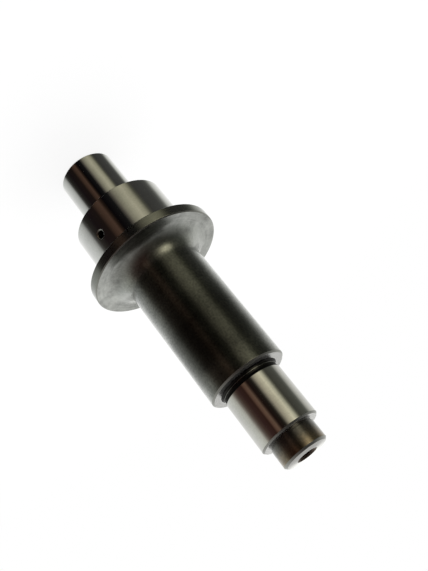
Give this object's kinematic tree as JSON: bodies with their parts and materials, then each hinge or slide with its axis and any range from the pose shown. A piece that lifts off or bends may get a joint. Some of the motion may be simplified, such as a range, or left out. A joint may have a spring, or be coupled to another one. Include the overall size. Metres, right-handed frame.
{
  "type": "stepped shaft",
  "caption": "Stepped ground steel shaft with a thin flange, a filleted barrel, journals at both ends and a nose bore.",
  "frame": {"origin": "centre of the rear end face, on which the shaft stands", "axes": "+Z along the shaft from the rear end to the nose; -Y towards the collar's radial hole"},
  "size_m": [0.07, 0.07, 0.1895],
  "materials": {
    "ground_steel": "turned and ground"
  },
  "bodies": {
    "root": {"shaft": "ground_steel"}
  },
  "joints": []
}
